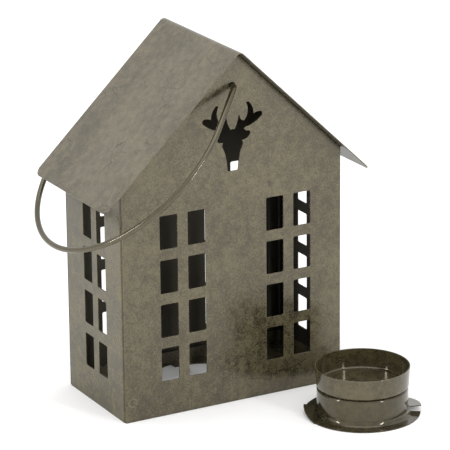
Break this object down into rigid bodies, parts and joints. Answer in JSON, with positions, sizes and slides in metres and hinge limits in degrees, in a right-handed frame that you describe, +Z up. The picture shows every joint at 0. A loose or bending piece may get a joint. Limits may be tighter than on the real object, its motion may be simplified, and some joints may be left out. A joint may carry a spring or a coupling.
{
  "type": "hanging candle lantern",
  "caption": "House-shaped sheet-steel candle lantern with cut-out windows, a folded roof, a swinging wire bail and a bayonet candle cup that comes out through the floor.",
  "frame": {"origin": "centre of the round hole in the floor plate, at the underside that the house stands on", "axes": "+Z up; X across the gable front, left to right as seen from the front; -Y out of the front gable; the ridge runs along Y"},
  "size_m": [0.2008, 0.2024, 0.2253],
  "materials": {
    "house_enamel": "semi-gloss grey-olive enamel with a faint mottled, crackled patina",
    "roof_enamel": "semi-gloss grey-olive enamel, a little lighter, crackled patina",
    "floor_enamel": "dark olive enamel",
    "bail_enamel": "glossy grey-olive enamel on wire",
    "cup_enamel": "glossy dark olive enamel"
  },
  "bodies": {
    "house": {"front_wall": "house_enamel", "back_wall": "house_enamel", "left_wall": "house_enamel", "right_wall": "house_enamel", "roof": "roof_enamel", "floor_plate": "floor_enamel"},
    "bail": {"bail": "bail_enamel"},
    "candle_cup": {"cup_base": "cup_enamel", "candle_pan": "cup_enamel"}
  },
  "joints": [
    {"name": "bail_swing", "type": "hinge", "parent": "house", "child": "bail", "pos_m": [0, 0, 0.2028], "axis": [0, 1, 0], "range_deg": [-10, 274.5]},
    {"name": "cup_lift", "type": "slide", "parent": "house", "child": "candle_cup", "axis": [0, 0, 1], "range_m": [0, 0.06]}
  ]
}
